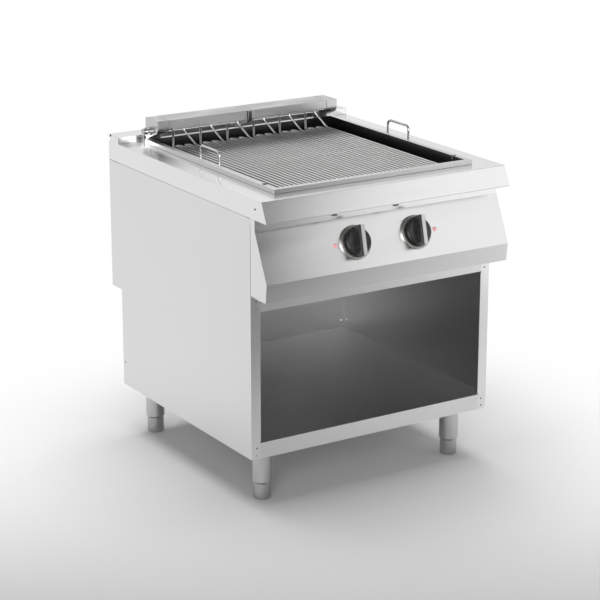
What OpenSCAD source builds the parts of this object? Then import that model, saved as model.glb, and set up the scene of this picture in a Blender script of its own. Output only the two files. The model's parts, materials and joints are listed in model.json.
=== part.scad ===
// Free-standing electric charbroiler grill on an open cabinet.
// Frame: X to the right, Y to the back, Z up, origin at the centre of the footprint on the floor.

/* [Overall] */
// Width over the side panels
unit_w = 800; // [760:10:860]
// Depth from the front edge of the worktop to the rear panel
unit_d = 900; // [880:10:940]
// Height of the worktop above the floor
worktop_z = 894; // [880:1:920]
// Clear height under the cabinet
leg_clear = 150; // [130:1:170]
// Thickness of the cabinet sheet
sheet = 1.5; // [1:0.5:2]

/* [Worktop] */
// Height of the worktop's skirt
skirt_h = 56; // [50:1:62]
// How far the skirt leans forward from top to bottom
skirt_run = 25; // [15:1:30]
// Height of the rim round the well
rim_h = 13; // [12:1:16]
// Width of the rim round the well
rim_w = 16; // [14:1:20]
// Width of the well over the rim
well_w = 654; // [640:2:660]
// Distance from the front edge to the rim
well_front = 80; // [76:1:90]
// Depth of the water tray below the worktop
tray_depth = 94; // [80:1:100]
// Depth of the raised ledge at the rear
ledge_d = 63; // [60:1:64]
// Height of the raised ledge at the rear
ledge_h = 20; // [15:1:24]

/* [Control panel] */
// Set-back of the panel's upright band below the worktop
band_back = 60; // [50:1:70]
// Height of the upright band
band_h = 32; // [25:1:40]
// Height of the sloping band
slope_h = 134; // [125:1:145]
// Height of the lower band
lower_h = 51; // [45:1:56]
// Distance between the two knobs
knob_gap = 200; // [180:2:240]
// Distance of each pilot lamp from the middle of the panel
lamp_x = 165; // [155:1:190]
// Diameter of the ring behind each knob
bezel_d = 96; // [88:1:98]
// Diameter of the knob's disc
knob_d = 75; // [70:1:78]
// Length of the knob's grip bar
grip_len = 84; // [80:1:86]
// Turn of the grip bar from upright at rest
knob_lean = 7; // [0:1:10]

/* [Cabinet] */
// Set-back of the cabinet front from the worktop edge
front_back = 84; // [80:1:90]
// Set-back of the lower cabinet's rear panel
rear_back = 60; // [50:1:63]
// Width of each front upright
upright_w = 30; // [25:1:40]
// Height of the bottom rail
rail_h = 46; // [40:1:55]
// Height of the opening's upper edge above the floor
opening_top = 572; // [560:1:580]
// Height of the lower end of the rear duct
duct_z = 448; // [430:1:460]
// Diameter of each leg tube
leg_d = 56; // [50:1:60]
// Diameter of each levelling foot
foot_d = 50; // [42:1:52]
// Height of each foot below its leg tube
foot_h = 49; // [40:1:52]

/* [Heating elements] */
// Diameter of the tubular elements
tube_d = 6.5; // [6:0.5:7]
// Distance between neighbouring legs of an element
pitch = 15.3; // [14.8:0.1:15.4]
// Height of the elements' centre line above the floor
element_z = 885; // [880:1:888]
// Diameter of the hinge shafts
shaft_d = 12; // [10:1:12]
// Height of the hinge cover's top above the worktop
cover_h = 72; // [70:1:76]

/* [Hidden] */
$fn = 48;

// Small gap that keeps separate pieces clear of each other.
gap = 0.5;
// Radial clearance of a shaft in its bore.
run_fit = 0.05;

// Reach of the knobs in front of the worktop edge, which the bounding box includes.
lean = atan(band_back / slope_h);
knob_v = slope_h / cos(lean) / 2 - 1.5;
knob_top = 42.4;
knob_reach = (knob_v + grip_len / 2) * sin(lean) + knob_top * cos(lean) - band_back;

// Planes across the depth, to the nearest tenth of a millimetre.
rear_y = round((unit_d + knob_reach) * 5) / 10;
front_y = rear_y - unit_d;
cab_front = front_y + front_back;
cab_back = rear_y - rear_back;
half_w = unit_w / 2;
in_w = half_w - sheet;

// Heights of the upper body.
skirt_z = worktop_z - skirt_h;
slope_top = skirt_z - band_h;
slope_low = slope_top - slope_h;
panel_low = slope_low - lower_h;
shelf_z = leg_clear + rail_h;
ceiling_z = opening_top + 20;
top_sheet = 2;

// Well and water tray.
tray_out = well_w / 2;
tray_in = tray_out - rim_w;
rim_z = worktop_z + rim_h;
well_y0 = front_y + well_front;
well_y1 = rear_y - 91;
tray_floor = worktop_z - tray_depth;

// Hinge line and the long cover over it.
cover_y0 = rear_y - 145;
cover_y1 = rear_y - 68;
cover_z0 = worktop_z + 44;
cover_z1 = worktop_z + cover_h;
base_t = 4;
hinge_y = rear_y - 96;
hinge_z = worktop_z + 36;
house_out = 311.5;
house_in = 273.5;
bank_out = 272.5;
bank_in = 10;
shaft_r = shaft_d / 2;

// Elements.
legs_per_element = 6;
elements_per_bank = 3;
tube_r = tube_d / 2;
element_y0 = front_y + 122;
element_y1 = rear_y - 148;
riser_y = rear_y - 156;
riser_start = 10;
splay = 21;
exit_y = rear_y - 120;
comb_y = element_y0 + 310;
rest_y = front_y + 146;

// Steel and plastic colours.
steel = [0.78, 0.79, 0.80];
dark_steel = [0.42, 0.42, 0.43];
element_grey = [0.55, 0.55, 0.56];
black = [0.08, 0.08, 0.08];

// A sheet with its outline in Y and Z, from x0 and t thick along X.
module side_sheet(x0, t, outline) {
    translate([x0, 0, 0])
        rotate([90, 0, 90])
            linear_extrude(height = t)
                polygon(outline);
}

// A box given by its lowest and highest corner.
module block(low, high) {
    translate(low)
        cube(high - low);
}

module mirrored(is_right) {
    mirror([is_right ? 1 : 0, 0, 0])
        children();
}

// A cylinder along X, from x0 to x1, round the line at y and z.
module x_rod(x0, x1, y, z, r) {
    translate([x0, y, z])
        rotate([0, 90, 0])
            cylinder(h = x1 - x0, r = r);
}

// A cylinder along Y, from y0 to y1, round the line at x and z.
module y_rod(y0, y1, x, z, r) {
    translate([x, y0, z])
        rotate([-90, 0, 0])
            cylinder(h = y1 - y0, r = r);
}

// Placed on the sloping band: local X to the right, Y up the slope, Z straight out of it.
module on_slope(x) {
    translate([x, front_y + band_back - knob_v * sin(lean), slope_top - knob_v * cos(lean)])
        rotate([90 - lean, 0, 0])
            children();
}

// ---- Cabinet ----

hinge_hole_x = half_w - 17;
hinge_hole_z = [leg_clear + 11.5, leg_clear + 32.5, opening_top + 11, opening_top + 32];
hinge_hole_r = 2.25;
wall_hole_r = 3;
wall_hole_z = shelf_z + 27;
wall_hole_y = cab_back - 14;
back_hole_x = half_w - 13;
return_w = 14;
foot_flange = upright_w;
notch = 3;

// Seams between the side panels, the worktop and the control panel's ends.
seam = 1.2;
side_top = skirt_z - seam;

module side_outline() {
    polygon([
        [cab_front, leg_clear], [cab_back, leg_clear], [cab_back, duct_z],
        [rear_y, duct_z], [rear_y, side_top], [cab_front, side_top]
    ]);
}

module side_panel() {
    color(steel)
        difference() {
            union() {
                translate([-half_w, 0, 0])
                    rotate([90, 0, 90])
                        linear_extrude(height = sheet)
                            side_outline();
                block([-half_w, cab_front, leg_clear], [-half_w + upright_w, cab_front + sheet, side_top]);
                block([-half_w + upright_w - sheet, cab_front, leg_clear],
                      [-half_w + upright_w, cab_front + return_w, side_top]);
                block([-half_w, cab_front, leg_clear],
                      [-half_w + foot_flange, cab_back, leg_clear + sheet]);
            }
            for (z = hinge_hole_z)
                y_rod(cab_front - 1, cab_front + sheet + 1, -hinge_hole_x, z, hinge_hole_r);
            x_rod(-half_w - 1, -half_w + sheet + 1, wall_hole_y, wall_hole_z, wall_hole_r);
            for (z = [opening_top - notch, shelf_z])
                block([-half_w + upright_w - notch, cab_front - 1, z],
                      [-half_w + upright_w + 1, cab_front + notch, z + notch]);
            block([-half_w - 1, cab_front - 1, leg_clear - 1],
                  [-half_w + notch, cab_front + notch, leg_clear + notch]);
        }
}

module left_side_panel() {
    side_panel();
}

module right_side_panel() {
    mirrored(true)
        side_panel();
}

module back_panel() {
    color(steel)
        difference() {
            block([-in_w, cab_back - sheet, leg_clear + sheet], [in_w, cab_back, ceiling_z + 30]);
            for (x = [-back_hole_x, back_hole_x])
                y_rod(cab_back - sheet - 1, cab_back + 1, x, wall_hole_z - 4, wall_hole_r);
        }
}

gland_x = 300;
gland_y = rear_y - 30;
gland_r = 10;

module duct_panel() {
    upper_w = half_w - top_sheet;
    color(steel)
        difference() {
            union() {
                block([-in_w, rear_y - sheet, duct_z], [in_w, rear_y, skirt_z]);
                block([-upper_w, rear_y - sheet, duct_z], [upper_w, rear_y, worktop_z - top_sheet]);
                block([-in_w, cab_back, duct_z], [in_w, rear_y, duct_z + sheet]);
            }
            translate([gland_x, gland_y, duct_z - 1])
                cylinder(h = sheet + 2, r = gland_r);
        }
}

module bottom_shelf() {
    rail_x = half_w - upright_w;
    color(steel)
        union() {
            block([-in_w, cab_front + return_w + gap, shelf_z - sheet], [in_w, cab_back - sheet, shelf_z]);
            block([-rail_x, cab_front, shelf_z - sheet], [rail_x, cab_front + 20, shelf_z]);
            block([-rail_x, cab_front, leg_clear], [rail_x, cab_front + sheet, shelf_z]);
            block([-rail_x, cab_front, leg_clear], [rail_x, cab_front + return_w, leg_clear + sheet]);
        }
}

module compartment_ceiling() {
    rail_x = half_w - upright_w;
    rail_top = panel_low + 20;
    color(steel)
        union() {
            block([-in_w, cab_front + return_w + gap, ceiling_z],
                  [in_w, cab_back - sheet, ceiling_z + sheet]);
            block([-rail_x, cab_front, ceiling_z], [rail_x, cab_front + 20, ceiling_z + sheet]);
            block([-rail_x, cab_front, opening_top], [rail_x, cab_front + sheet, rail_top]);
            block([-rail_x, cab_front, opening_top], [rail_x, cab_front + return_w, opening_top + sheet]);
        }
}

// Angle along the top of each side panel, which the worktop is bolted down to.
module top_rails() {
    rail_flange = 40;
    rail_drop = 30;
    y0 = cab_front + return_w + 2;
    y1 = cab_back - return_w;
    color(steel)
        for (right = [false, true])
            mirrored(right)
                union() {
                    block([-in_w, y0, skirt_z - rail_drop], [-in_w + sheet, y1, skirt_z]);
                    block([-in_w, y0, skirt_z - sheet], [-in_w + rail_flange, y1, skirt_z]);
                }
}

leg_x = half_w - 77;
leg_front_y = cab_front + 75;
leg_rear_y = cab_back - 53;
stem_r = 8;
collar_z = leg_clear - 50;
collar_h = 15;
bracket_t = 3;
LEGS = [[-leg_x, leg_front_y], [leg_x, leg_front_y], [-leg_x, leg_rear_y], [leg_x, leg_rear_y]];

// Tube with its inner threaded collar, welded to a corner plate inside the cabinet.
module leg_tube(at) {
    wall = 2.5;
    edge = 3;
    plate = 50;
    plate_z = leg_clear + sheet;
    plate_x = at[0] < 0 ? [-in_w, at[0] + plate] : [at[0] - plate, in_w];
    translate([at[0], at[1], 0])
        rotate_extrude()
            polygon([
                [leg_d / 2 - wall, foot_h + gap], [leg_d / 2 - edge + 1, foot_h + gap],
                [leg_d / 2, foot_h + gap + edge], [leg_d / 2, plate_z],
                [stem_r + 4, plate_z], [stem_r + 4, plate_z - 2], [leg_d / 2 - wall, plate_z - 2],
                [leg_d / 2 - wall, collar_z + collar_h], [stem_r + run_fit, collar_z + collar_h],
                [stem_r + run_fit, collar_z], [leg_d / 2 - wall, collar_z]
            ]);
    block([plate_x[0], at[1] - plate, plate_z], [plate_x[1], at[1] + plate, plate_z + bracket_t]);
}

module leg_tubes() {
    color(steel)
        for (at = LEGS)
            leg_tube(at);
}

module foot(at) {
    rim = 3;
    r = foot_d / 2;
    color(dark_steel)
        translate([at[0], at[1], 0])
            rotate_extrude()
                polygon([
                    [0, 0], [r - rim, 0], [r - 0.8, 1], [r, rim], [r, foot_h - 2], [r - 1.5, foot_h],
                    [stem_r, foot_h], [stem_r, leg_clear - 10], [0, leg_clear - 10]
                ]);
}

module foot_front_left() { foot(LEGS[0]); }
module foot_front_right() { foot(LEGS[1]); }
module foot_rear_left() { foot(LEGS[2]); }
module foot_rear_right() { foot(LEGS[3]); }

// ---- Control panel ----

panel_t = 1.5;
lower_run = 5;
shaft_hole_r = 6;
lamp_r = 5.5;
cheek_tab = 20;

// Outline of the folded front, seen from the side.
function panel_outline(inset) = [
    [front_y + band_back + inset, skirt_z],
    [front_y + band_back + inset, slope_top - inset * tan(lean / 2)],
    [front_y + inset / cos(lean) + 0.15 * inset, slope_low],
    [front_y + lower_run + inset, panel_low + inset]
];

module control_panel() {
    outer = panel_outline(0);
    inner = panel_outline(panel_t);
    cheek = concat(outer, [
        [cab_front - seam, panel_low + 3], [cab_front - seam, skirt_z - cheek_tab],
        [cab_front, skirt_z - cheek_tab], [cab_front, skirt_z]
    ]);
    front = concat(outer, [inner[3], inner[2], inner[1], inner[0]]);
    color(steel)
        difference() {
            union() {
                side_sheet(-half_w, unit_w, front);
                side_sheet(-half_w, panel_t, cheek);
                side_sheet(half_w - panel_t, panel_t, cheek);
                block([-half_w, front_y + lower_run, panel_low], [half_w, cab_front, panel_low + panel_t]);
            }
            for (x = [-knob_gap / 2, knob_gap / 2])
                on_slope(x)
                    translate([0, 0, -10])
                        cylinder(h = 20, r = shaft_hole_r);
            for (x = [-lamp_x, lamp_x])
                on_slope(x)
                    translate([0, 0, -10])
                        cylinder(h = 20, r = lamp_r);
        }
}

bezel_h = 9;
bezel_floor = 3;

module knob_bezel(x) {
    r = bezel_d / 2;
    color([0.55, 0.53, 0.49])
        on_slope(x)
            rotate_extrude($fn = 96)
                polygon([
                    [shaft_hole_r, 0], [r, 0], [r, bezel_h - 4], [r - 2.5, bezel_h],
                    [r - 5, bezel_h], [r - 7, bezel_floor], [shaft_hole_r, bezel_floor]
                ]);
}

module left_knob_bezel() { knob_bezel(-knob_gap / 2); }
module right_knob_bezel() { knob_bezel(knob_gap / 2); }

knob_base = 4;
disc_top = 26;
grip_w = 20;
insert_x = [-2, 9.4];
insert_z = knob_top - 1.6;
knob_shaft_r = 3;

module knob(x) {
    disc_r = knob_d / 2;
    color(black)
        on_slope(x)
            rotate([0, 0, -knob_lean])
                difference() {
                    union() {
                        rotate_extrude($fn = 96)
                            polygon([
                                [0, knob_base], [disc_r, knob_base], [disc_r, disc_top - 4],
                                [disc_r - 1.2, disc_top - 1.2], [disc_r - 4, disc_top], [0, disc_top - 1.5]
                            ]);
                        intersection() {
                            translate([0, 0, 10])
                                cylinder(h = knob_top - 10.4, r = grip_len / 2, $fn = 96);
                            translate([-grip_w / 2, -grip_len / 2, 10])
                                cube([grip_w, grip_len, knob_top]);
                        }
                    }
                    translate([0, 0, knob_base - 1])
                        cylinder(h = 19, r = knob_shaft_r);
                    translate([insert_x[0], -grip_len / 2, insert_z])
                        cube([insert_x[1] - insert_x[0], grip_len, 5]);
                }
}

module left_knob() { knob(-knob_gap / 2); }
module right_knob() { knob(knob_gap / 2); }

module knob_insert(x) {
    color([0.85, 0.86, 0.87])
        on_slope(x)
            rotate([0, 0, -knob_lean])
                intersection() {
                    translate([0, 0, insert_z])
                        cylinder(h = knob_top - insert_z, r = grip_len / 2, $fn = 96);
                    translate([insert_x[0], -grip_len / 2, insert_z])
                        cube([insert_x[1] - insert_x[0], grip_len, knob_top - insert_z]);
                }
}

module left_knob_insert() { knob_insert(-knob_gap / 2); }
module right_knob_insert() { knob_insert(knob_gap / 2); }

shaft_back = 30;
shaft_front = 20;

module control_shaft(x) {
    color(steel)
        on_slope(x)
            translate([0, 0, -shaft_back])
                cylinder(h = shaft_back + shaft_front, r = knob_shaft_r);
}

module left_control_shaft() { control_shaft(-knob_gap / 2); }
module right_control_shaft() { control_shaft(knob_gap / 2); }

// Regulator case with a threaded neck that its shaft turns in.
module energy_regulator(x) {
    case_w = 44;
    case_back = 46;
    color([0.85, 0.83, 0.78])
        on_slope(x)
            difference() {
                union() {
                    translate([-case_w / 2, -case_w / 2, -case_back])
                        cube([case_w, case_w, case_back - 4]);
                    translate([0, 0, -5])
                        cylinder(h = 5 + bezel_floor - 0.5, r = shaft_hole_r - 0.5);
                    for (side = [-12, 12])
                        translate([side - 3, -14, -case_back - 8])
                            cube([6, 28, 9]);
                }
                translate([0, 0, -shaft_back - 1])
                    cylinder(h = shaft_back + 20, r = knob_shaft_r + run_fit);
            }
}

module left_energy_regulator() { energy_regulator(-knob_gap / 2); }
module right_energy_regulator() { energy_regulator(knob_gap / 2); }

module pilot_lamp(x) {
    lens_r = 6;
    color([0.95, 0.35, 0.35])
        on_slope(x)
            rotate_extrude()
                polygon([
                    [0, -22], [lamp_r - 0.2, -22], [lamp_r - 0.2, 0], [lens_r, 0], [lens_r, 2],
                    [lens_r - 1.2, 3.6], [lens_r - 3, 4.4], [0, 4.8]
                ]);
}

module left_pilot_lamp() { pilot_lamp(-lamp_x); }
module right_pilot_lamp() { pilot_lamp(lamp_x); }

// ---- Worktop ----

// Size of the folded hook at the ledge's rear edge, and where its chamfer starts.
hook = 9;
chamfer = 22;

// Side of the worktop with the slanted front, the ledge's end and the notch at the rear.
function worktop_side() = [
    [front_y, skirt_z], [rear_y, skirt_z],
    [rear_y, worktop_z - top_sheet], [rear_y - hook, worktop_z - top_sheet],
    [rear_y - hook, worktop_z + ledge_h - hook], [rear_y - chamfer, worktop_z + ledge_h],
    [rear_y - ledge_d, worktop_z + ledge_h], [rear_y - ledge_d, worktop_z], [front_y + skirt_run, worktop_z]
];

collar_gap = 4;
collar_t = 1.5;
skirt_fold = 14;

module worktop() {
    cut_x = tray_in + collar_gap;
    cut_y0 = well_y0 + rim_w - collar_gap;
    cut_y1 = well_y1 - rim_w + collar_gap;
    lip_z = rim_z - sheet;
    color(steel)
        difference() {
            union() {
                side_sheet(-half_w, top_sheet, worktop_side());
                side_sheet(half_w - top_sheet, top_sheet, worktop_side());
                block([-half_w, front_y + skirt_run, worktop_z - top_sheet],
                      [half_w, rear_y - ledge_d, worktop_z]);
                side_sheet(-half_w, unit_w, [
                    [front_y, skirt_z], [front_y + top_sheet, skirt_z],
                    [front_y + skirt_run + top_sheet, worktop_z - top_sheet],
                    [front_y + skirt_run + top_sheet, worktop_z], [front_y + skirt_run, worktop_z]
                ]);
                block([-half_w, front_y, skirt_z], [half_w, front_y + skirt_fold, skirt_z + sheet]);
                block([-cut_x - collar_t, cut_y0 - collar_t, worktop_z - top_sheet],
                      [cut_x + collar_t, cut_y1 + collar_t, lip_z]);
                block([-in_w, rear_y - ledge_d, skirt_z + 8], [in_w, rear_y - ledge_d + sheet, worktop_z]);
            }
            block([-cut_x, cut_y0, skirt_z], [cut_x, cut_y1, rim_z + 1]);
        }
}

module rear_ledge() {
    x1 = half_w - top_sheet;
    top = worktop_z + ledge_h;
    profile = [
        [rear_y - ledge_d, worktop_z], [rear_y - ledge_d, top], [rear_y, top], [rear_y, top - hook],
        [rear_y - sheet, top - hook], [rear_y - sheet, top - sheet],
        [rear_y - ledge_d + sheet, top - sheet], [rear_y - ledge_d + sheet, worktop_z]
    ];
    color(steel)
        union() {
            side_sheet(-x1, 2 * x1, profile);
            block([-half_w, rear_y - hook, top - hook], [half_w, rear_y, top]);
        }
}

// Small clips between the skirt's fold and the upright band.
module skirt_clips() {
    clip_x = [-176, 24];
    clip_w = 14;
    clip_h = 9;
    color(dark_steel)
        for (x = clip_x)
            block([x - clip_w / 2, front_y + skirt_fold + 1, skirt_z - clip_h],
                  [x + clip_w / 2, front_y + band_back, skirt_z - gap]);
}

// Baffle under the tray, between the side panels.
module heat_shield() {
    z = tray_floor - 22;
    flange = 12;
    y0 = cab_front + return_w + 2;
    y1 = well_y1 - 4;
    color(steel)
        union() {
            block([-in_w, y0, z], [in_w, y1, z + sheet]);
            for (x = [-in_w, in_w - sheet])
                block([x, y0, z - flange], [x + sheet, y1, z + sheet]);
        }
}

module water_tray() {
    wall = 1.5;
    in_y0 = well_y0 + rim_w;
    in_y1 = well_y1 - rim_w;
    color(steel)
        difference() {
            union() {
                block([-tray_out, well_y0, worktop_z + 0.3], [tray_out, well_y1, rim_z]);
                block([-tray_in - wall, in_y0 - wall, tray_floor], [tray_in + wall, in_y1 + wall, rim_z]);
            }
            block([-tray_in, in_y0, tray_floor + wall], [tray_in, in_y1, rim_z + 1]);
            difference() {
                block([-tray_out + wall, well_y0 + wall, tray_floor - 1],
                      [tray_out - wall, well_y1 - wall, rim_z - wall]);
                block([-tray_in - wall, in_y0 - wall, tray_floor - 2],
                      [tray_in + wall, in_y1 + wall, rim_z]);
            }
        }
}

handle_r = 3.5;
handle_y = front_y + 435;
handle_len = 106;
handle_rise = 46;
handle_bend = 14;

// Round bar bent into a U, standing on the tray's rim.
module tray_handle(x) {
    straight = handle_len / 2 - handle_bend;
    color(steel)
        translate([x, handle_y, rim_z])
            union() {
                y_rod(-straight, straight, 0, handle_rise - handle_r, handle_r);
                for (side = [-1, 1])
                    translate([0, side * straight, handle_rise - handle_r - handle_bend]) {
                        rotate([90, 0, side < 0 ? -90 : 90])
                            rotate_extrude(angle = 90)
                                translate([handle_bend, 0])
                                    circle(r = handle_r);
                        translate([0, side * handle_bend, -(handle_rise - handle_r - handle_bend)])
                            cylinder(h = handle_rise - handle_r - handle_bend, r = handle_r);
                    }
            }
}

module left_tray_handle() { tray_handle(-tray_out + rim_w / 2); }
module right_tray_handle() { tray_handle(tray_out - rim_w / 2); }

// Flat bar across the well, hooked over both sides of the rim, that the elements lie on.
module element_rest_bar() {
    bar_w = 8;
    hook_t = 2;
    top = element_z - tube_r - 0.05;
    x1 = tray_in - gap;
    color(dark_steel)
        union() {
            block([-x1, rest_y, top - hook_t], [x1, rest_y + bar_w, top]);
            for (side = [-1, 1]) {
                low_x = min(side * x1, side * (x1 - hook_t));
                over_x = min(side * (x1 - hook_t), side * (x1 + 9));
                block([low_x, rest_y, top - hook_t], [low_x + hook_t, rest_y + bar_w, rim_z + 2.5]);
                block([over_x, rest_y, rim_z + 0.1], [over_x + 9 + hook_t, rest_y + bar_w, rim_z + 2.5]);
            }
        }
}

// ---- Hinged element banks ----

foot_l = 19;

// Outline of the bearing cheeks: square nose at the top, swept back to a narrow foot.
// nose is how far the front stands out past the covers.
function cheek_outline(foot_z, nose = 0) = concat(
    [[cover_y1, foot_z], [cover_y1, cover_z1], [cover_y0 - nose, cover_z1],
        [cover_y0 - nose, cover_z0 + 8]],
    [for (a = [10 : 10 : 50]) [cover_y0 - nose + 24 * (1 - cos(a)), cover_z0 + 8 - 24 * sin(a)]],
    [[cover_y1 - foot_l, worktop_z + 14], [cover_y1 - foot_l, foot_z]]
);

module bearing_housing() {
    wall = 2;
    outline = cheek_outline(worktop_z);
    boss_r = shaft_r + 6;
    color(steel)
        difference() {
            union() {
                side_sheet(-house_out, wall, outline);
                difference() {
                    side_sheet(-house_out, house_out - house_in, outline);
                    translate([-house_out - 1, 0, 0])
                        rotate([90, 0, 90])
                            linear_extrude(height = house_out - house_in + 2)
                                offset(delta = -wall)
                                    polygon(outline);
                }
                x_rod(-house_out - 4, -house_in, hinge_y, hinge_z, boss_r);
            }
            x_rod(-house_out - 10, -house_in + 1, hinge_y, hinge_z, shaft_r + run_fit);
        }
}

module left_bearing_housing() { bearing_housing(); }

module right_bearing_housing() {
    mirrored(true)
        bearing_housing();
}

// Folded bracket between the two covers: two cheeks joined along the top and at the foot.
module centre_support() {
    plate = 2.5;
    half = 8;
    nose = 4;
    outline = cheek_outline(worktop_z, nose);
    color(steel)
        difference() {
            union() {
                side_sheet(-half, plate, outline);
                side_sheet(half - plate, plate, outline);
                block([-half, cover_y1 - foot_l, worktop_z], [half, cover_y1, worktop_z + plate]);
                block([-half, cover_y0 - nose, cover_z1 - plate], [half, cover_y1, cover_z1]);
            }
            x_rod(-20, 20, hinge_y, hinge_z, shaft_r + run_fit);
        }
}

shaft_out = 335;
nut_t = 9;

module hinge_shaft() {
    color(steel)
        x_rod(-shaft_out, -1, hinge_y, hinge_z, shaft_r);
}

module left_hinge_shaft() { hinge_shaft(); }

module right_hinge_shaft() {
    mirrored(true)
        hinge_shaft();
}

// Washer and round nut on the outer end of each shaft.
module hinge_shaft_nuts() {
    color(steel)
        for (right = [false, true])
            mirrored(right)
                difference() {
                    union() {
                        x_rod(-shaft_out + 8, -shaft_out + 10, hinge_y, hinge_z, 12);
                        x_rod(-shaft_out - 1, -shaft_out + 8, hinge_y, hinge_z, 9.5);
                    }
                    x_rod(-shaft_out - 2, -shaft_out + 11, hinge_y, hinge_z, shaft_r);
                }
}

module hinge_cover() {
    wall = 1.5;
    ear = 2.5;
    ear_r = shaft_r + 6;
    low = cover_z0 + base_t;
    color(steel)
        difference() {
            union() {
                difference() {
                    block([-bank_out, cover_y0, low], [-bank_in, cover_y1, cover_z1]);
                    block([-bank_out + wall, cover_y0 + wall, low - 1],
                          [-bank_in - wall, cover_y1 - wall, cover_z1 - wall]);
                }
                for (x = [-bank_out, -bank_in - ear]) {
                    block([x, cover_y0, cover_z0], [x + ear, cover_y1, low + 5]);
                    block([x, hinge_y - ear_r, hinge_z], [x + ear, hinge_y + ear_r, low + 5]);
                    x_rod(x, x + ear, hinge_y, hinge_z, ear_r);
                }
            }
            x_rod(-bank_out - 1, -bank_in + 1, hinge_y, hinge_z, shaft_r + run_fit);
        }
}

// Centre of each element leg across the width; leg 0 is the outermost of the bank.
bank_legs = legs_per_element * elements_per_bank;
function leg_at(i) = -(bank_legs - 0.5 - i) * pitch;
exit_x = [
    for (e = [0 : elements_per_bank - 1])
        each [leg_at(e * legs_per_element) + splay,
            leg_at(e * legs_per_element + legs_per_element - 1) - splay]
];

// Closing plate under the cover, with a bright front lip and a hole for each terminal.
module cover_base() {
    lip = 2;
    color(steel)
        difference() {
            block([-bank_out + 8, cover_y0 - lip, cover_z0],
                  [-bank_in - 5, cover_y1 - 1, cover_z0 + base_t]);
            for (x = exit_x)
                translate([x, exit_y, cover_z0 - 1])
                    cylinder(h = base_t + 2, r = tube_r + run_fit);
        }
}

// Half turn that joins two neighbouring legs; side is 1 at the rear and -1 at the front.
module u_bend(x, y, side) {
    translate([x, y, element_z])
        rotate([0, 0, side > 0 ? 0 : 180])
            rotate_extrude(angle = 180)
                translate([pitch / 2, 0])
                    circle(r = tube_r, $fn = 32);
}

function unit(v) = v / norm(v);

// Points of a quarter-like bend at corner b on the way from a to c.
function corner(a, b, c, trim, steps) =
    let (start = b + trim * unit(a - b), end = b + trim * unit(c - b))
        [for (i = [0 : steps]) let (t = i / steps)
            (1 - t) * (1 - t) * start + 2 * t * (1 - t) * b + t * t * end];

// Round tube swept along a path that never runs along X.
module swept_tube(path, r, sides) {
    count = len(path);
    rings = [
        for (i = [0 : count - 1])
            let (
                along = unit(path[min(i + 1, count - 1)] - path[max(i - 1, 0)]),
                across = unit(cross(along, [1, 0, 0])),
                other = cross(along, across)
            )
                for (k = [0 : sides - 1])
                    path[i] + r * (cos(k * 360 / sides) * across + sin(k * 360 / sides) * other)
    ];
    walls = [
        for (i = [0 : count - 2], k = [0 : sides - 1])
            let (a = i * sides + k, b = i * sides + (k + 1) % sides)
                each [[a, b + sides, b], [a, a + sides, b + sides]]
    ];
    ends = [
        [for (k = [0 : sides - 1]) k],
        [for (k = [sides - 1 : -1 : 0]) (count - 1) * sides + k]
    ];
    polyhedron(points = rings, faces = concat(walls, ends));
}

// End of an element: bends up, inwards and back to the cover, then straight up through its base.
module element_riser(x, side) {
    trim = 8;
    steps = 5;
    top = cover_z0 + 14;
    start = [x, riser_y - riser_start, element_z];
    foot = [x, riser_y, element_z];
    head = [x + side * splay, exit_y, cover_z0 - 10];
    path = concat(
        [start], corner(start, foot, head, trim, steps), corner(foot, head, head + [0, 0, 20], trim, steps),
        [[head[0], head[1], top]]
    );
    swept_tube(path, tube_r, 16);
}

// One tubular element: six legs joined by bends, its two ends rising to the cover.
module element(index) {
    first = index * legs_per_element;
    last = first + legs_per_element - 1;
    color(element_grey)
        union() {
            for (i = [first : last])
                y_rod(element_y0, (i == first || i == last) ? riser_y - riser_start : element_y1,
                      leg_at(i), element_z, tube_r);
            for (i = [first : 2 : last])
                u_bend(leg_at(i) + pitch / 2, element_y0, -1);
            for (i = [first + 1 : 2 : last - 1])
                u_bend(leg_at(i) + pitch / 2, element_y1, 1);
            element_riser(leg_at(first), 1);
            element_riser(leg_at(last), -1);
        }
}

// Upright strip with an open notch for each leg, which holds the legs apart.
module element_combs() {
    comb_t = 2;
    comb_low = 8;
    comb_top = 1.4;
    comb_end = 6;
    color(dark_steel)
        difference() {
            block([leg_at(0) - comb_end, comb_y, element_z - comb_low],
                  [leg_at(bank_legs - 1) + comb_end, comb_y + comb_t, element_z + comb_top]);
            for (i = [0 : bank_legs - 1])
                y_rod(comb_y - 1, comb_y + comb_t + 1, leg_at(i), element_z, tube_r + run_fit);
        }
}

// Insulating bead and stud on each terminal, inside the cover.
module terminals() {
    top = cover_z0 + 14;
    color([0.9, 0.88, 0.84])
        for (x = exit_x)
            translate([x, exit_y, top])
                union() {
                    cylinder(h = 4, r = tube_r + 1);
                    cylinder(h = 10, r = 2);
                    translate([0, 0, 5])
                        cylinder(h = 2.4, r = 4, $fn = 6);
                }
}

module left_hinge_cover() { hinge_cover(); }
module left_cover_base() { cover_base(); }
module left_element_1() { element(0); }
module left_element_2() { element(1); }
module left_element_3() { element(2); }
module left_element_combs() { element_combs(); }
module left_terminals() { terminals(); }
module right_hinge_cover() { mirrored(true) hinge_cover(); }
module right_cover_base() { mirrored(true) cover_base(); }
module right_element_1() { mirrored(true) element(0); }
module right_element_2() { mirrored(true) element(1); }
module right_element_3() { mirrored(true) element(2); }
module right_element_combs() { mirrored(true) element_combs(); }
module right_terminals() { mirrored(true) terminals(); }

// ---- Electrical parts above the compartment ----

plate_z = ceiling_z + 12;
plate_t = 2;
plate_x = 150;
plate_y = [cab_front + 120, cab_front + 330];
plate_top = plate_z + plate_t;

module electrics_plate() {
    color(steel)
        union() {
            block([-plate_x, plate_y[0], plate_z], [plate_x, plate_y[1], plate_top]);
            for (x = [-plate_x, plate_x - plate_t])
                block([x, plate_y[0], ceiling_z + sheet], [x + plate_t, plate_y[1], plate_top]);
        }
}

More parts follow.
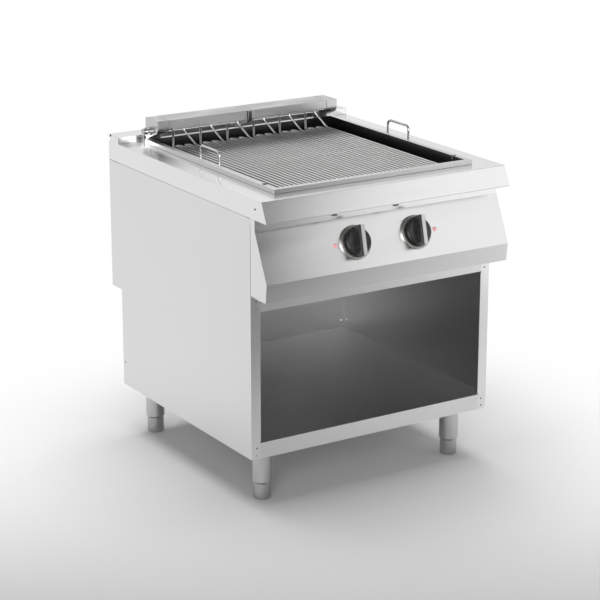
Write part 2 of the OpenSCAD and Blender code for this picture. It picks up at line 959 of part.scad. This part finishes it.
// Five-way block: a base and one raised clamp per conductor.
module terminal_block() {
    ways = 5;
    way_pitch = 14;
    depth = 30;
    base_h = 10;
    clamp_h = 28;
    color([0.9, 0.9, 0.88])
        translate([60, plate_y[0] + 20, plate_top])
            union() {
                cube([ways * way_pitch, depth, base_h]);
                for (i = [0 : ways - 1])
                    translate([i * way_pitch + 2, 2, 0])
                        cube([way_pitch - 4, depth - 4, clamp_h]);
            }
}

// Two contactors, each a case with a narrower head.
module contactors() {
    case = [45, 75, 58];
    head = [29, 55, 70];
    color([0.3, 0.31, 0.33])
        for (x = [-125, -60])
            translate([x, plate_y[0] + 110, plate_top])
                union() {
                    cube(case);
                    translate([(case[0] - head[0]) / 2, (case[1] - head[1]) / 2, 0])
                        cube(head);
                }
}

// Cut-out with its reset button.
module safety_thermostat() {
    case = [48, 34, 24];
    button_r = 6;
    color([0.75, 0.72, 0.6])
        translate([80, plate_y[0] + 150, plate_top])
            union() {
                translate([-case[0] / 2, -case[1] / 2, 0])
                    cube(case);
                cylinder(h = case[2] + 6, r = button_r);
            }
}

// Threaded gland through the duct's lower face, where the supply lead would enter.
module cable_gland() {
    cable_r = 6.5;
    color([0.2, 0.2, 0.21])
        translate([gland_x, gland_y, duct_z])
            difference() {
                union() {
                    translate([0, 0, -26])
                        cylinder(h = 12, r = 11.5);
                    translate([0, 0, -14])
                        cylinder(h = 14, r = 15, $fn = 6);
                    cylinder(h = 14, r = gland_r - 0.1);
                    translate([0, 0, sheet])
                        cylinder(h = 6, r = 14.5, $fn = 6);
                }
                translate([0, 0, -27])
                    cylinder(h = 42, r = cable_r);
            }
}

// Screws that hold the worktop's sides to the side panels, seen as small dark heads.
module fixing_screws() {
    head_h = 1.2;
    head_r = 2.4;
    head_back = 58;
    color(dark_steel)
        for (right = [false, true])
            mirrored(right)
                x_rod(-half_w - head_h, -half_w, front_y + head_back, skirt_z + 30, head_r);
}

left_side_panel();
right_side_panel();
back_panel();
duct_panel();
bottom_shelf();
compartment_ceiling();
top_rails();
control_panel();
worktop();
rear_ledge();
heat_shield();
water_tray();
left_tray_handle();
right_tray_handle();
element_rest_bar();
left_bearing_housing();
right_bearing_housing();
centre_support();
left_hinge_shaft();
right_hinge_shaft();
hinge_shaft_nuts();
left_hinge_cover();
left_cover_base();
left_element_1();
left_element_2();
left_element_3();
left_element_combs();
left_terminals();
right_hinge_cover();
right_cover_base();
right_element_1();
right_element_2();
right_element_3();
right_element_combs();
right_terminals();
left_knob_bezel();
right_knob_bezel();
left_knob();
right_knob();
left_knob_insert();
right_knob_insert();
left_control_shaft();
right_control_shaft();
left_energy_regulator();
right_energy_regulator();
left_pilot_lamp();
right_pilot_lamp();
electrics_plate();
terminal_block();
contactors();
safety_thermostat();
cable_gland();
skirt_clips();
fixing_screws();
leg_tubes();
foot_front_left();
foot_front_right();
foot_rear_left();
foot_rear_right();
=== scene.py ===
import json
import math

import bmesh
import bpy
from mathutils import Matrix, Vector


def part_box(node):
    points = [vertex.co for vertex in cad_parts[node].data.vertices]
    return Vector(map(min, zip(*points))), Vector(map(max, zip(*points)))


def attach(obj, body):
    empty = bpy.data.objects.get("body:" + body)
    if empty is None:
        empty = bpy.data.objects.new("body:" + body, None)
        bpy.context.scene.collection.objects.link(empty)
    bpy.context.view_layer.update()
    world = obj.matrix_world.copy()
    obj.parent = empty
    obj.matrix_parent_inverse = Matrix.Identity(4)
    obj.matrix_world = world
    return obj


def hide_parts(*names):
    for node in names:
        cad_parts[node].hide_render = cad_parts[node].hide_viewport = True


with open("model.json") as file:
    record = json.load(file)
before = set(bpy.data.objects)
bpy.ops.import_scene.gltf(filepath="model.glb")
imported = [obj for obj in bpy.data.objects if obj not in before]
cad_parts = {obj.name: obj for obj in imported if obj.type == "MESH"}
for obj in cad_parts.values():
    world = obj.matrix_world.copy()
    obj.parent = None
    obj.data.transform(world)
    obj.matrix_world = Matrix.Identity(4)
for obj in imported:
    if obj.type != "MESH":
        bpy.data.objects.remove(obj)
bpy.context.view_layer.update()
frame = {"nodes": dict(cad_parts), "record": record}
NODES = frame["nodes"]
BODY_OF = {node: body for body, members in frame["record"]["behaviour"]["bodies"].items()
           for node in members}
SLOT_OF = {part["node"]: part["material_slot"] for part in frame["record"]["subparts"]}
WHITE = (1, 1, 1, 1)

scene = bpy.context.scene
scene.view_settings.view_transform = "Standard"
scene.view_settings.look = "None"


# ---------------------------------------------------------------- camera

# Fitted to the edges in the photo, for a lens without shift.
CAMERA_PLACE = (-3.102, -4.905, 2.2388)
CAMERA_YAW = math.radians(-32.13)
CAMERA_PITCH = math.radians(17.09)
LENS_MM, SENSOR_MM = 123.9, 36.0
CLIP_END = 200.0


def add_camera():
    data = bpy.data.cameras.new("camera")
    data.lens = LENS_MM
    data.sensor_width = SENSOR_MM
    data.clip_end = CLIP_END
    camera = bpy.data.objects.new("camera", data)
    camera.location = CAMERA_PLACE
    back = Vector((math.sin(CAMERA_YAW) * math.cos(CAMERA_PITCH),
                   -math.cos(CAMERA_YAW) * math.cos(CAMERA_PITCH),
                   math.sin(CAMERA_PITCH)))
    camera.rotation_mode = "QUATERNION"
    camera.rotation_quaternion = (-back).to_track_quat("-Z", "Y")
    scene.collection.objects.link(camera)
    scene.camera = camera


add_camera()


# ---------------------------------------------------------------- shader graphs

SOCKET_OF = {
    "color": "Base Color", "metallic": "Metallic", "rough": "Roughness", "normal": "Normal",
    "aniso": "Anisotropic", "specular": "Specular IOR Level", "subsurface": "Subsurface Weight",
    "coat": "Coat Weight", "coat_rough": "Coat Roughness",
    "emission": "Emission Color", "emission_strength": "Emission Strength",
}
# A Mix node has a set of sockets for each kind of value; these are the colour ones.
MIX_COLOR_A, MIX_COLOR_B, MIX_COLOR_RESULT = 6, 7, 2


def is_socket(value):
    return isinstance(value, bpy.types.NodeSocket)


def grey(level):
    return (level, level, level)


def scaled(color, factor):
    return tuple(min(1.0, channel * factor) for channel in color)


class Graph:
    """Adds shader nodes to a material or a world and links them."""

    def __init__(self, owner, output="ShaderNodeOutputMaterial", space="Object"):
        owner.use_nodes = True
        self.tree = owner.node_tree
        self.tree.nodes.clear()
        self.out = self.tree.nodes.new(output)
        self.coord = self.tree.nodes.new("ShaderNodeTexCoord").outputs[space]

    def node(self, kind, inputs=(), **settings):
        made = self.tree.nodes.new(kind)
        for key, value in settings.items():
            setattr(made, key, value)
        for key, value in dict(inputs).items():
            self.put(made.inputs[key], value)
        return made

    def put(self, socket, value):
        if is_socket(value):
            self.tree.links.new(value, socket)
        else:
            socket.default_value = value

    def attach(self, shader):
        self.tree.links.new(shader.outputs[0], self.out.inputs["Surface"])

    def math(self, operation, a, b, clamp=False):
        made = self.node("ShaderNodeMath", {0: a, 1: b}, operation=operation, use_clamp=clamp)
        return made.outputs[0]

    def product(self, a, b):
        return self.math("MULTIPLY", a, b)

    def total(self, first, *others):
        for other in others:
            first = self.math("ADD", first, other)
        return first

    def swing(self, noise, amount):
        """A noise from 0 to 1, as amount times its distance from the middle."""
        return self.product(self.math("SUBTRACT", noise, 0.5), amount)

    def mapped(self, scale=(1, 1, 1), rotation=(0, 0, 0)):
        made = self.node("ShaderNodeMapping",
                         {"Vector": self.coord, "Scale": scale, "Rotation": rotation})
        return made.outputs["Vector"]

    def noise(self, vector, scale, detail=3.0, rough=0.5, distortion=0.0):
        made = self.node("ShaderNodeTexNoise", {"Vector": vector, "Scale": scale, "Detail": detail,
                                                "Roughness": rough, "Distortion": distortion})
        return made.outputs["Fac"]

    def cells(self, scale):
        made = self.node("ShaderNodeTexVoronoi", {"Vector": self.mapped(), "Scale": scale})
        return made.outputs["Distance"]

    def ramp(self, value, start, end, first=0.0, last=1.0):
        """Straight from first, where value is at start, to last, where it is at end."""
        made = self.node("ShaderNodeValToRGB", {"Fac": value})
        for stop, at, level in zip(made.color_ramp.elements, (start, end), (first, last)):
            stop.position = at
            stop.color = (*grey(level), 1)
        return made.outputs["Color"]

    def eased(self, value, start, end, first=0.0, last=1.0):
        """As ramp, but with soft ends and any range of values."""
        made = self.node("ShaderNodeMapRange",
                         {"Value": value, "From Min": start, "From Max": end,
                          "To Min": first, "To Max": last}, interpolation_type="SMOOTHSTEP")
        return made.outputs["Result"]

    def mix(self, factor, a, b, blend="MIX"):
        made = self.node("ShaderNodeMix", data_type="RGBA", blend_type=blend)
        self.put(made.inputs["Factor"], factor)
        for index, value in ((MIX_COLOR_A, a), (MIX_COLOR_B, b)):
            self.put(made.inputs[index], value if is_socket(value) else (*value, 1))
        return made.outputs[MIX_COLOR_RESULT]

    def bump(self, height, distance, normal=None):
        made = self.node("ShaderNodeBump",
                         {"Height": height, "Distance": distance, "Strength": 1.0})
        if normal is not None:
            self.put(made.inputs["Normal"], normal)
        return made.outputs["Normal"]

    def surface(self, **inputs):
        made = self.node("ShaderNodeBsdfPrincipled")
        for key, value in inputs.items():
            if key in ("color", "emission") and not is_socket(value):
                value = (*value, 1)
            self.put(made.inputs[SOCKET_OF[key]], value)
        self.attach(made)


# ---------------------------------------------------------------- materials

# Noise scales, per metre. The coarse grain is the same grain drawn larger.
ACROSS_GRAIN, ALONG_GRAIN = 900.0, 9.0
COARSE_GRAIN = 0.22
# Bump distances, in metres: the sheet's slow waviness, and three depths of grain.
SHEET_WAVE = 1.6e-4
FAINT, LIGHT, PLAIN = 0.4e-5, 0.6e-5, 1.2e-5
# How strongly the hairline scratches show, from 0 to 1.
SCRATCHES = 0.5


def steel(name, color, rough, grain, streak, blotch, depth=PLAIN):
    """Satin sheet: brushing along the grain, faint blotches, wipe marks and hairline scratches."""
    material = bpy.data.materials.new(name)
    g = Graph(material)
    stretch = tuple(ALONG_GRAIN if axis == grain else ACROSS_GRAIN for axis in "XYZ")
    brushing = g.noise(g.mapped(stretch), 1.0, detail=2.0, rough=0.6)
    coarse = g.noise(g.mapped(tuple(s * COARSE_GRAIN for s in stretch)), 1.0, rough=0.55)
    blotches = g.noise(g.mapped(), 5.5, detail=4.0, rough=0.55, distortion=0.4)
    wipes = g.noise(g.mapped((3.0, 11.0, 7.0), (0.3, 0.5, 0.9)), 1.0, detail=4.0, rough=0.6,
                    distortion=1.2)
    hairs = g.noise(g.mapped((16.0, 420.0, 420.0), (0.2, 0.35, 0.6)), 1.0, detail=1.0, rough=0.4)
    scratched = g.noise(g.mapped(), 9.0, detail=2.0)
    hair_mask = g.product(g.ramp(hairs, 0.69, 0.72), g.ramp(scratched, 0.5, 0.62))

    level = g.total(g.swing(coarse, streak * 2.4), g.swing(blotches, blotch * 1.6),
                    g.swing(brushing, streak * 1.2))
    tone = g.mix(g.math("ADD", level, 0.5, clamp=True), scaled(color, 0.87), scaled(color, 1.13))
    tone = g.mix(g.product(hair_mask, 0.12 * SCRATCHES), tone, scaled(color, 1.3))
    roughness = g.total(rough, g.swing(coarse, streak * 2.0), g.swing(blotches, blotch * 1.5),
                        g.product(g.ramp(wipes, 0.52, 0.7), 0.02))
    height = g.total(g.product(brushing, 0.6), g.product(coarse, 0.7))
    height = g.math("SUBTRACT", height, g.product(hair_mask, 0.5 * SCRATCHES))
    wave = g.noise(g.mapped(), 2.6, detail=1.0, rough=0.4)
    g.surface(color=tone, metallic=1.0, rough=roughness, aniso=0.45,
              normal=g.bump(wave, SHEET_WAVE, g.bump(height, depth)))
    return material


def tube_steel(name, color, rough, heat=0.0, pitting=0.5, wear=1.0):
    """Drawn tube or rod: draw marks, dull patches, pits and, where hot, a straw and blue tint."""
    material = bpy.data.materials.new(name)
    g = Graph(material)
    red, green, blue = color
    straw = (red * 0.95, green * 0.82, blue * 0.66)
    blued = (red * 0.62, green * 0.70, blue * 0.86)
    draw = g.noise(g.mapped((260.0, 7.0, 260.0)), 1.0, detail=2.0, rough=0.6)
    patches = g.noise(g.mapped(), 16.0, detail=4.0, rough=0.6, distortion=0.3)
    zone = g.noise(g.mapped(), 7.0)
    pits = g.ramp(g.cells(420.0), 0.0, 0.12, first=1.0, last=0.0)

    tone = g.mix(g.ramp(patches, 0.35, 0.65), scaled(color, 1.0 - 0.28 * wear), color)
    tone = g.mix(g.product(g.ramp(zone, 0.42, 0.6), heat), tone, straw)
    tone = g.mix(g.product(g.ramp(zone, 0.6, 0.75), heat), tone, blued)
    drawn = g.product(g.math("SUBTRACT", draw, 0.3, clamp=True), 0.3 * wear)
    tone = g.mix(drawn, tone, scaled(color, 0.8))
    roughness = g.total(rough, g.swing(patches, 0.22 * wear), g.swing(draw, 0.12 * wear))
    height = g.total(g.product(draw, 0.5), g.product(patches, 0.5))
    height = g.math("SUBTRACT", height, g.product(pits, 0.4 * pitting))
    g.surface(color=tone, metallic=1.0, rough=roughness, aniso=0.2,
              normal=g.bump(height, 2.5e-5 * wear))
    return material


def turned(name, color, rough):
    """Bright turned part: fine rings and a few handling marks."""
    material = bpy.data.materials.new(name)
    g = Graph(material)
    rings = g.noise(g.mapped((900.0, 60.0, 60.0)), 1.0, detail=2.0)
    marks = g.noise(g.mapped(), 60.0, detail=4.0, rough=0.6, distortion=0.6)
    tone = g.mix(g.ramp(marks, 0.4, 0.65), scaled(color, 0.82), color)
    g.surface(color=tone, metallic=1.0, rough=g.total(rough, g.swing(marks, 0.2)),
              normal=g.bump(g.total(rings, g.product(marks, 0.5)), 1.5e-5))
    return material


def plastic(name, color, rough, wear=0.15, texture=420.0, depth=2.0e-5):
    """Moulded plastic: fine eroded texture, patches polished by handling, and faint dust."""
    material = bpy.data.materials.new(name)
    g = Graph(material)
    eroded = g.cells(texture * 2.6)
    fine = g.noise(g.mapped(), texture, rough=0.6)
    handled = g.noise(g.mapped(), 24.0, rough=0.55, distortion=0.5)
    dust = g.noise(g.mapped(), 90.0, detail=4.0, rough=0.65)

    lifted = tuple(min(1.0, channel * 1.25 + 0.012) for channel in color)
    tone = g.mix(g.ramp(handled, 0.4, 0.7), color, lifted)
    tone = g.mix(g.product(g.ramp(dust, 0.55, 0.75), 0.06), tone, (0.5, 0.48, 0.45))
    polish = g.product(g.ramp(handled, 0.35, 0.7), wear)
    roughness = g.total(g.math("SUBTRACT", rough + 0.08, polish), g.swing(dust, 0.08))
    height = g.total(g.product(eroded, 0.5), g.product(fine, 0.5))
    g.surface(color=tone, metallic=0.0, rough=roughness, specular=0.5, normal=g.bump(height, depth))
    return material


def lens(name):
    """Red pilot lamp: moulded translucent cap with a faint prism pattern."""
    material = bpy.data.materials.new(name)
    g = Graph(material)
    prism = g.cells(900.0)
    cloud = g.noise(g.mapped(), 260.0)
    g.surface(color=g.mix(g.ramp(cloud, 0.35, 0.7), (0.92, 0.34, 0.36), (1.0, 0.52, 0.53)),
              emission=g.mix(g.ramp(prism, 0.1, 0.6), (0.75, 0.16, 0.18), (1.0, 0.42, 0.43)),
              emission_strength=0.16, rough=g.total(0.16, g.product(cloud, 0.12)),
              coat=0.4, coat_rough=0.12, subsurface=0.25, normal=g.bump(prism, 4.0e-5))
    return material


CREAM = plastic("moulded_cream", (0.66, 0.62, 0.53), 0.5)
COVER = steel("cover_satin", grey(0.58), 0.34, "X", streak=0.012, blotch=0.012, depth=FAINT)
CROSS = steel("panel_satin_cross", grey(0.66), 0.36, "X", streak=0.04, blotch=0.04)
# Painted shade: the back panel is darker and rougher than the other panels, standing in for the
# shade deep in the open compartment.
BACK_PAINTED_SHADE = steel("back_satin", grey(0.34), 0.48, "X", streak=0.02, blotch=0.02, depth=LIGHT)
# Painted shade: a dark steel for the tray's inside, standing in for the shade under the elements
# and covers.
BASIN_PAINTED_SHADE = steel("basin_stained", grey(0.09), 0.36, "X", streak=0.05, blotch=0.10)
HANDLE = tube_steel("handle_rod", (0.62, 0.62, 0.63), 0.22, pitting=0.2, wear=0.4)

MATERIAL_OF_SLOT = {
    "panel_steel": steel("panel_satin", grey(0.70), 0.30, "Z", 0.02, 0.02, LIGHT),
    "control_panel_steel": steel("front_satin", grey(0.70), 0.23, "X", 0.02, 0.02, LIGHT),
    "worktop_steel": steel("worktop_satin", grey(0.74), 0.22, "X", 0.02, 0.02, LIGHT),
    "tray_steel": steel("tray_satin", grey(0.66), 0.30, "X", 0.04, 0.05),
    "leg_steel": steel("leg_satin", grey(0.52), 0.24, "Z", 0.02, 0.015, FAINT),
    "foot_steel": steel("foot_satin", grey(0.46), 0.24, "X", 0.02, 0.015, FAINT),
    "hinge_steel": COVER,
    "knob_insert_metal": steel("insert_strip", grey(0.60), 0.30, "Z", 0.05, 0.03),
    "bar_steel": tube_steel("strip_tinted", (0.46, 0.455, 0.45), 0.34, heat=0.15),
    "element_sheath": tube_steel("element_sheath", (0.80, 0.797, 0.79), 0.30, heat=0.06,
                                 pitting=0.2, wear=0.25),
    "dark_trim": tube_steel("trim_dark", grey(0.10), 0.45),
    "bracket_steel": tube_steel("bracket_zinc", (0.50, 0.51, 0.52), 0.40),
    "shaft_steel": turned("shaft_bright", (0.66, 0.66, 0.67), 0.22),
    "knob_bezel_metal": turned("bezel_ring", (0.56, 0.545, 0.515), 0.42),
    "knob_plastic": plastic("knob_black", (0.016, 0.016, 0.017), 0.32, wear=0.14, texture=380.0,
                            depth=1.6e-5),
    "terminal_ceramic": plastic("ceramic_bead", (0.78, 0.75, 0.69), 0.62, wear=0.1, texture=500.0,
                                depth=4.0e-5),
    "regulator_plastic": CREAM,
    "block_plastic": CREAM,
    "contactor_plastic": plastic("moulded_grey", (0.12, 0.125, 0.13), 0.45),
    "gland_plastic": plastic("gland_nylon", (0.02, 0.02, 0.021), 0.42),
    "lamp_lens": lens("lamp_red"),
}
MATERIAL_OF_NODE = {
    "bottom_shelf": CROSS, "compartment_ceiling": CROSS, "duct_panel": CROSS, "heat_shield": CROSS,
    "top_rails": CROSS, "back_panel": BACK_PAINTED_SHADE, "left_tray_handle": HANDLE, "right_tray_handle": HANDLE,
}


def material_for(node):
    return MATERIAL_OF_NODE.get(node) or MATERIAL_OF_SLOT[SLOT_OF[node]]


for node_name, node_object in NODES.items():
    node_object.data.materials.clear()
    node_object.data.materials.append(material_for(node_name))


# ---------------------------------------------------------------- copies that stand for CAD nodes

MERGE_DISTANCE = 2e-6
BEVEL_SEGMENTS = 2
# Faces that meet below the flat angle are one face. Edges from the fold angle up are rounded.
FLAT_ANGLE = math.radians(0.4)
FOLD_ANGLE = math.radians(20.0)
# Edges of a rod from this angle up stay sharp.
ROD_ANGLE = math.radians(48.0)
# A rounded wall's facets are narrower than this, and turn at least so far.
FACET_WIDTH = 0.004
LEAST_TURN = math.radians(0.5)


def is_facet(face):
    """True for the narrow facets that make up a rounded wall."""
    longest = max(edge.calc_length() for edge in face.edges)
    if len(face.verts) > 4 or face.calc_area() > FACET_WIDTH * longest:
        return False
    return any(LEAST_TURN < edge.calc_face_angle(0.0) < FOLD_ANGLE for edge in face.edges)


def welded(node):
    """A copy of a CAD node's mesh, and a bmesh of it whose faces share their corners."""
    mesh = NODES[node].data.copy()
    mesh.materials.clear()
    mesh.materials.append(material_for(node))
    b = bmesh.new()
    b.from_mesh(mesh)
    bmesh.ops.remove_doubles(b, verts=b.verts, dist=MERGE_DISTANCE)
    return mesh, b


def stand_in(node, mesh, suffix):
    piece = bpy.data.objects.new(node + suffix, mesh)
    scene.collection.objects.link(piece)
    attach(piece, BODY_OF[node])
    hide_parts(node)
    return piece


def folded_sheet(node, radius, painted_shade_material=None, takes_painted_shade=None):
    """A copy of a node with rounded folds; faces whose centre passes the given test take a second
    material, which paints shade.
    """
    mesh, b = welded(node)
    bmesh.ops.dissolve_limit(b, angle_limit=FLAT_ANGLE, verts=b.verts, edges=b.edges,
                             delimit={"NORMAL"})
    b.normal_update()
    for face in b.faces:
        face.smooth = is_facet(face)
        face.material_index = int(painted_shade_material is not None and takes_painted_shade(face.calc_center_median()))
    if painted_shade_material is not None:
        mesh.materials.append(painted_shade_material)
    b.to_mesh(mesh)
    b.free()
    bevel = stand_in(node, mesh, "_sheet").modifiers.new("rounded", "BEVEL")
    bevel.width = radius
    bevel.segments = BEVEL_SEGMENTS
    bevel.limit_method = "ANGLE"
    bevel.angle_limit = FOLD_ANGLE
    bevel.use_clamp_overlap = False


def round_rod(node):
    """A copy of a node that is made of round bars, shaded as round."""
    mesh, b = welded(node)
    for face in b.faces:
        face.smooth = True
    for edge in b.edges:
        edge.smooth = edge.calc_face_angle(0.0) < ROD_ANGLE
    b.to_mesh(mesh)
    b.free()
    stand_in(node, mesh, "_rod")


# Radii of folds and edges.
TIGHT, FOLD, SOFT, HEAVY = 0.0003, 0.0004, 0.0005, 0.0006

for node_name, fold_radius in (
        ("left_side_panel", FOLD), ("right_side_panel", FOLD), ("back_panel", TIGHT),
        ("duct_panel", FOLD), ("bottom_shelf", FOLD), ("compartment_ceiling", FOLD),
        ("control_panel", FOLD), ("worktop", SOFT), ("rear_ledge", FOLD),
        ("left_hinge_cover", FOLD), ("right_hinge_cover", FOLD),
        ("left_cover_base", FOLD), ("right_cover_base", FOLD),
        ("left_bearing_housing", HEAVY), ("right_bearing_housing", HEAVY),
        ("centre_support", HEAVY), ("element_rest_bar", FOLD), ("skirt_clips", SOFT)):
    folded_sheet(node_name, fold_radius)

for side in ("left", "right"):
    for number in (1, 2, 3):
        round_rod(f"{side}_element_{number}")

TRAY_LO, TRAY_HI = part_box("water_tray")
# Width of the tray's folded rim, and how near its top a face counts as the top.
TRAY_RIM = 0.0155
RIM_TOP_SKIN = 0.0002


def is_in_painted_shade(centre):
    """True for the tray's inner faces, below the rim's folded top, which take a darker steel as
    painted shade.
    """
    return (TRAY_LO.x + TRAY_RIM < centre.x < TRAY_HI.x - TRAY_RIM
            and TRAY_LO.y + TRAY_RIM < centre.y < TRAY_HI.y - TRAY_RIM
            and centre.z < TRAY_HI.z - RIM_TOP_SKIN)


folded_sheet("water_tray", SOFT, BASIN_PAINTED_SHADE, is_in_painted_shade)


# ---------------------------------------------------------------- floor

FLOOR_RADIUS = 24.0
# Just below the feet, so that no two faces share a plane.
FLOOR_TOP = -0.0004
# Turns the floor's depth to run straight away from the camera.
FLOOR_TURN = math.radians(32.1)


def add_floor():
    """Pale floor that fades to white behind the part, with painted shade towards the front that is
    darkest far in front in reflections.
    """
    mesh = bpy.data.meshes.new("floor")
    b = bmesh.new()
    bmesh.ops.create_circle(b, cap_ends=True, segments=96, radius=FLOOR_RADIUS)
    b.to_mesh(mesh)
    b.free()
    floor = bpy.data.objects.new("floor", mesh)
    floor.location = (0, 0, FLOOR_TOP)
    scene.collection.objects.link(floor)

    material = bpy.data.materials.new("floor_pale")
    g = Graph(material)
    seen = g.node("ShaderNodeLightPath").outputs["Is Camera Ray"]
    depth = g.node("ShaderNodeSeparateXYZ",
                   {"Vector": g.mapped(rotation=(0, 0, FLOOR_TURN))}).outputs["Y"]
    radius = g.node("ShaderNodeVectorMath", {0: g.coord}, operation="LENGTH").outputs["Value"]
    white_behind = g.product(g.eased(depth, -1.2, 0.6), g.eased(radius, 0.62, 1.25))
    white_far_off = g.product(seen, g.eased(radius, 1.35, 3.0))

    cloudy = g.mix(g.noise(g.mapped(), 1.4, detail=2.0), grey(0.50), grey(0.53))
    # Painted shade: the floor's colour darkens towards the front of the part, and further in
    # reflections far in front, standing in for light falling off.
    shade_seen = g.product(g.eased(depth, -1.35, 0.0, 0.62, 1.0), seen)
    shade_reflected = g.product(g.eased(depth, -1.45, -0.45, 0.12, 1.0),
                                g.math("SUBTRACT", 1.0, seen))
    tone = g.mix(1.0, cloudy, g.total(shade_seen, shade_reflected), "MULTIPLY")
    texture = g.bump(g.noise(g.mapped(), 160.0, rough=0.6), 1.0e-4)
    ground = g.node("ShaderNodeBsdfPrincipled", {"Base Color": tone, "Roughness": 0.8,
                                                 "Specular IOR Level": 0.15, "Normal": texture})
    white = g.node("ShaderNodeEmission", {"Color": WHITE, "Strength": 1.0})
    fade = g.math("MAXIMUM", white_behind, white_far_off)
    g.attach(g.node("ShaderNodeMixShader", {0: fade, 1: ground.outputs[0], 2: white.outputs[0]}))
    mesh.materials.append(material)


add_floor()


# ---------------------------------------------------------------- light

STRAIGHT_IN_FRONT = (0.29, -0.957, 0.0)


def add_world():
    """White behind the part, dimmer overhead, dark straight in front; the camera sees white."""
    world = bpy.data.worlds.new("studio")
    scene.world = world
    g = Graph(world, "ShaderNodeOutputWorld", "Generated")
    heading = g.node("ShaderNodeSeparateXYZ", {0: g.coord}).outputs
    ahead = g.node("ShaderNodeVectorMath", {0: g.coord, 1: STRAIGHT_IN_FRONT},
                   operation="DOT_PRODUCT").outputs["Value"]
    strength = g.product(g.eased(heading["Y"], -0.45, 0.5, 0.45, 1.0),
                         g.eased(ahead, 0.5, 0.88, 1.0, 0.12))
    strength = g.product(strength, g.eased(heading["Z"], 0.34, 0.7, 1.0, 0.45))
    seen = g.node("ShaderNodeLightPath").outputs["Is Camera Ray"]
    strength = g.math("MAXIMUM", strength, seen)
    g.attach(g.node("ShaderNodeBackground", {"Color": WHITE, "Strength": strength}))


def softbox(name, place, target, size, watts, spread=180.0, reflected=True):
    data = bpy.data.lights.new(name, "AREA")
    data.shape = "RECTANGLE"
    data.size, data.size_y = size
    data.energy = watts
    data.spread = math.radians(spread)
    light = bpy.data.objects.new(name, data)
    light.location = place
    light.rotation_mode = "QUATERNION"
    light.rotation_quaternion = (Vector(target) - Vector(place)).to_track_quat("-Z", "Y")
    light.visible_camera = False
    light.visible_glossy = reflected
    scene.collection.objects.link(light)


add_world()
# The front skirt and the control panel reflect the right box, the open compartment the left one.
softbox("front_right_box", place=(1.54, -1.53, 1.05), target=(0.0, -0.4, 1.05), size=(1.95, 2.0),
        watts=14.0)
softbox("front_left_box", place=(-2.5, -3.1, 1.4), target=(0.2, 0.0, 0.35), size=(2.2, 2.0),
        watts=20.0, spread=70.0)
softbox("top_box", place=(0.0, 0.35, 3.0), target=(0.0, 0.15, 0.0), size=(3.0, 2.6), watts=165.0,
        reflected=False)
